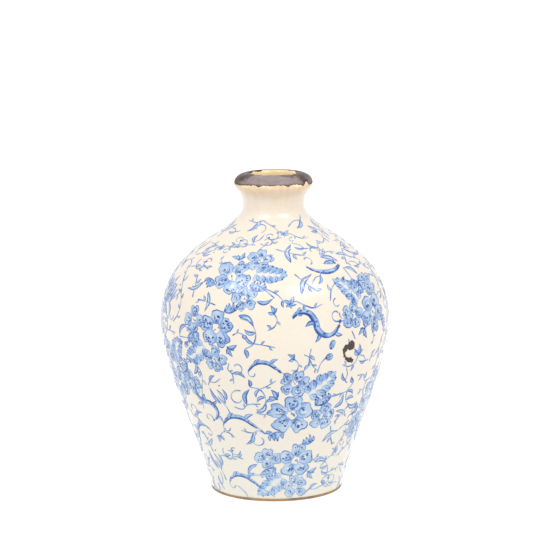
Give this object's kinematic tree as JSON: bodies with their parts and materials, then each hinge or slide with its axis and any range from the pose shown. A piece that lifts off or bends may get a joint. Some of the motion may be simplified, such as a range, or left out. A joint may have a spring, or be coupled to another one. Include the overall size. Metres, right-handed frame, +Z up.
{
  "type": "pottery vase",
  "caption": "Round-bellied pottery vase with a narrow neck and a rolled lip, cream crackle glaze with a blue floral print, and a bare foot ring.",
  "frame": {"origin": "centre of the face that the foot ring rests on", "axes": "+Z up along the axis that the pot was turned about; -Y towards the viewer, so the flaked spot is on the -Y, +X side"},
  "size_m": [0.143, 0.143, 0.2],
  "materials": {
    "bare_clay": "matte",
    "cream_glaze": "gloss",
    "brown_glaze": "gloss",
    "honey_glaze": "gloss",
    "dark_slip": "matte",
    "cobalt_print": "gloss"
  },
  "bodies": {
    "root": {"clay_body": "bare_clay", "cream_glaze": "cream_glaze", "lip_glaze": "brown_glaze", "liner_glaze": "honey_glaze", "base_glaze": "cream_glaze", "chip_slip": "dark_slip"}
  },
  "joints": []
}
